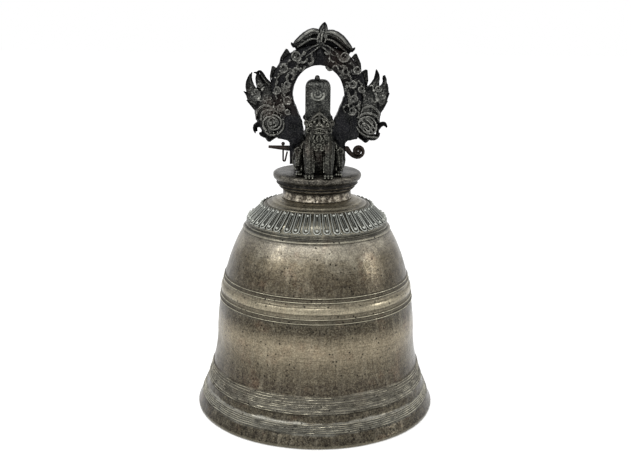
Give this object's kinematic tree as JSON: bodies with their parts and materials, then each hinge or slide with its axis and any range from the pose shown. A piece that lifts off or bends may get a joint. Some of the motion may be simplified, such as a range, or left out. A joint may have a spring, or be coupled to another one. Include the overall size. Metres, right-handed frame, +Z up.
{
  "type": "monastery bell",
  "caption": "Cast bronze temple bell with moulded bands, petal collar and guardian lions, hung from a pinned dragon arch hanger.",
  "frame": {"origin": "centre of the mouth, on the plane that the lip stands on", "axes": "+Z up the bell's axis to the hanger, +X along the hanger pin to its scroll head, -Y towards the side in the picture"},
  "size_m": [0.2492, 0.2492, 0.3957],
  "materials": {
    "bell_bronze": "worn, warm grey-brown patina with rubbed straw-coloured patches",
    "petal_bronze": "dark patina with rubbed ridges",
    "crown_bronze": "dull grey-brown patina with pale corrosion on the neck",
    "lug_bronze": "dark grey patina",
    "lion_bronze": "near-black patina with dull straw highlights",
    "hanger_bronze": "near-black patina with olive-grey highlights",
    "pin_iron": "forged, dark rust",
    "keeper_iron": "dark iron wire"
  },
  "bodies": {
    "bell": {"bell_wall": "bell_bronze", "petals": "petal_bronze", "crown_disc": "crown_bronze", "suspension_lug": "lug_bronze", "front_lion": "lion_bronze", "rear_lion": "lion_bronze"},
    "hanger": {"hanger_arch": "hanger_bronze", "left_dragon": "hanger_bronze", "right_dragon": "hanger_bronze", "left_mane": "hanger_bronze", "right_mane": "hanger_bronze", "arch_scrolls": "hanger_bronze", "left_fins": "hanger_bronze", "right_fins": "hanger_bronze", "crest_bud": "hanger_bronze", "left_crest_leaf": "hanger_bronze", "right_crest_leaf": "hanger_bronze"},
    "pin": {"hanger_pin": "pin_iron"},
    "keeper": {"keeper_pin": "keeper_iron"}
  },
  "joints": [
    {"name": "hanger_tilt", "type": "hinge", "parent": "bell", "child": "hanger", "pos_m": [0, 0, 0.271], "axis": [1, 0, 0], "range_deg": [-10, 10]},
    {"name": "pin_turn", "type": "hinge", "parent": "bell", "child": "pin", "pos_m": [0, 0, 0.271], "axis": [1, 0, 0], "range_deg": [-110, 110]},
    {"name": "keeper_swivel", "type": "hinge", "parent": "pin", "child": "keeper", "pos_m": [-0.0346, 0, 0.271], "axis": [0, 0, 1], "continuous": true}
  ]
}
